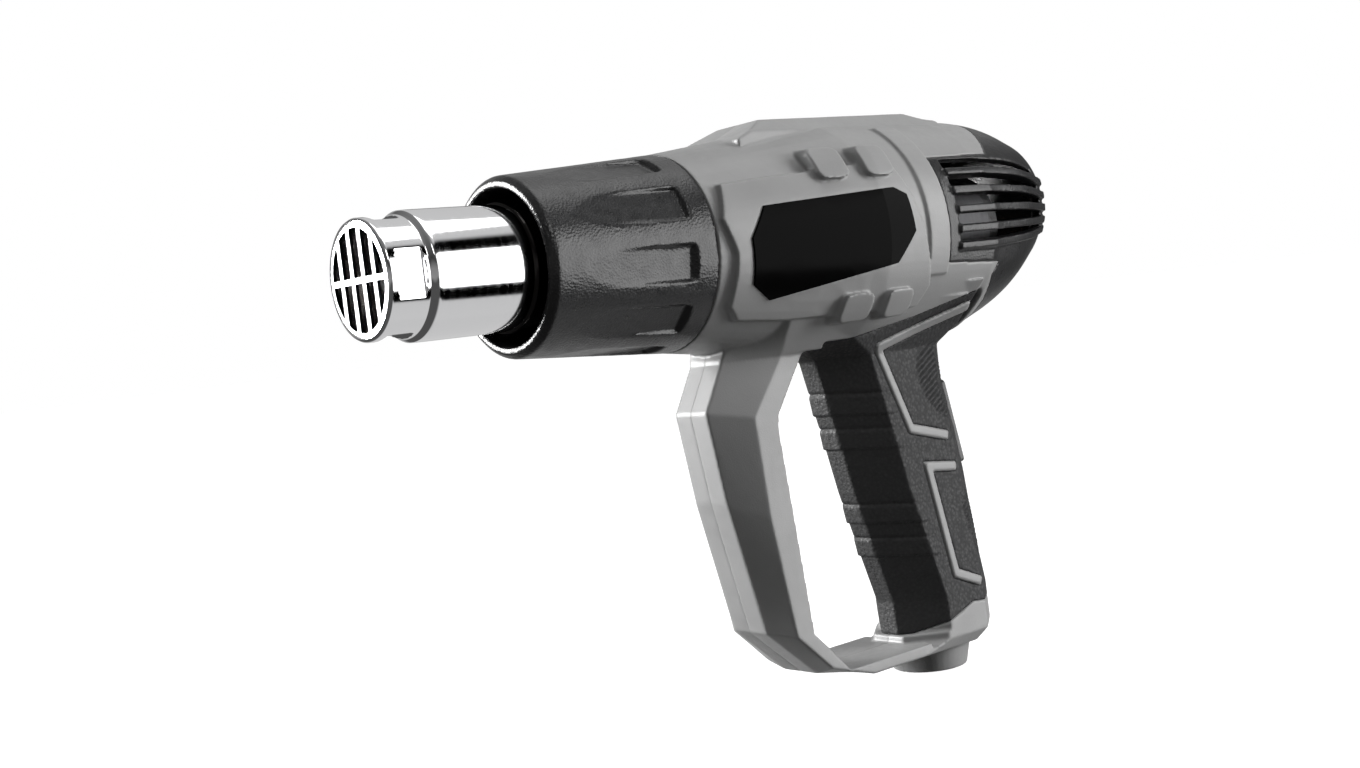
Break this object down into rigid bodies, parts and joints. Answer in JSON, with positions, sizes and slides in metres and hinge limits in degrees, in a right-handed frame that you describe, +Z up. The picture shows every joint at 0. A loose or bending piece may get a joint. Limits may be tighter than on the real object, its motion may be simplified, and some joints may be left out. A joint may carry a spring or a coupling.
{
  "type": "heat gun",
  "caption": "Pistol-grip hot air gun with steel outlet tube, fluted nose collar, clamshell body, closed hand guard, ribbed rear air inlet and rocker switch.",
  "frame": {"origin": "centre of the outlet tube at its front shoulder, on the barrel axis", "axes": "+X rearward along the barrel, -Y the left side, +Z up; air leaves towards -X"},
  "size_m": [0.2443, 0.0772, 0.1791],
  "materials": {
    "bright_steel": "bright polished sheet steel",
    "grey_plastic": "satin moulded nylon",
    "black_plastic": "fine-grained moulded nylon",
    "gloss_black": "gloss plate",
    "soft_grip": "grained soft overmould",
    "plain_steel": "plain steel",
    "mica": "mica sheet",
    "heating_wire": "oxidised resistance wire",
    "fan_plastic": "moulded nylon",
    "magnet": "ferrite",
    "armature_steel": "lacquered laminations and winding",
    "bronze": "sintered bronze",
    "switch_plastic": "satin moulding",
    "board": "printed board",
    "board_parts": "components"
  },
  "bodies": {
    "handle": {"nozzle_tube": "bright_steel", "nozzle_grille": "bright_steel", "housing_left": "grey_plastic", "housing_right": "grey_plastic", "badge_left": "gloss_black", "badge_right": "gloss_black", "rear_cap": "black_plastic", "overmould_left": "soft_grip", "overmould_right": "soft_grip", "cable_inlet": "soft_grip", "housing_screws": "plain_steel", "mica_sleeve": "mica", "heater_board_wide": "mica", "heater_board_split": "mica", "heater_coils": "heating_wire", "heater_disc_front": "mica", "heater_disc_rear": "mica", "thermal_cutout": "plain_steel", "tube_plate": "plain_steel", "tube_screws": "plain_steel", "stator": "black_plastic", "fan_shroud": "black_plastic", "motor_mount": "black_plastic", "motor_can": "plain_steel", "motor_magnets": "magnet", "motor_end_cap": "black_plastic", "bush_front": "bronze", "bush_rear": "bronze", "motor_screws": "plain_steel", "switch_body": "black_plastic", "rocker_pin": "plain_steel", "control_board": "board", "board_parts": "board_parts", "cable_clamp": "black_plastic", "clamp_screws": "plain_steel"},
    "rotor": {"fan_wheel": "fan_plastic", "armature": "armature_steel", "motor_shaft": "plain_steel"},
    "collar": {"nose_collar": "black_plastic"},
    "rocker": {"switch_rocker": "switch_plastic"}
  },
  "joints": [
    {"name": "rotor_spin", "type": "hinge", "parent": "handle", "child": "rotor", "pos_m": [0.157, 0, 0], "axis": [1, 0, 0], "continuous": true},
    {"name": "collar_twist", "type": "hinge", "parent": "handle", "child": "collar", "pos_m": [0.06, 0, 0], "axis": [1, 0, 0], "range_deg": [0, 30]},
    {"name": "switch_rock", "type": "hinge", "parent": "handle", "child": "rocker", "pos_m": [0.18886, 0, -0.06359], "axis": [0, 1, 0], "range_deg": [-10, 10]}
  ]
}
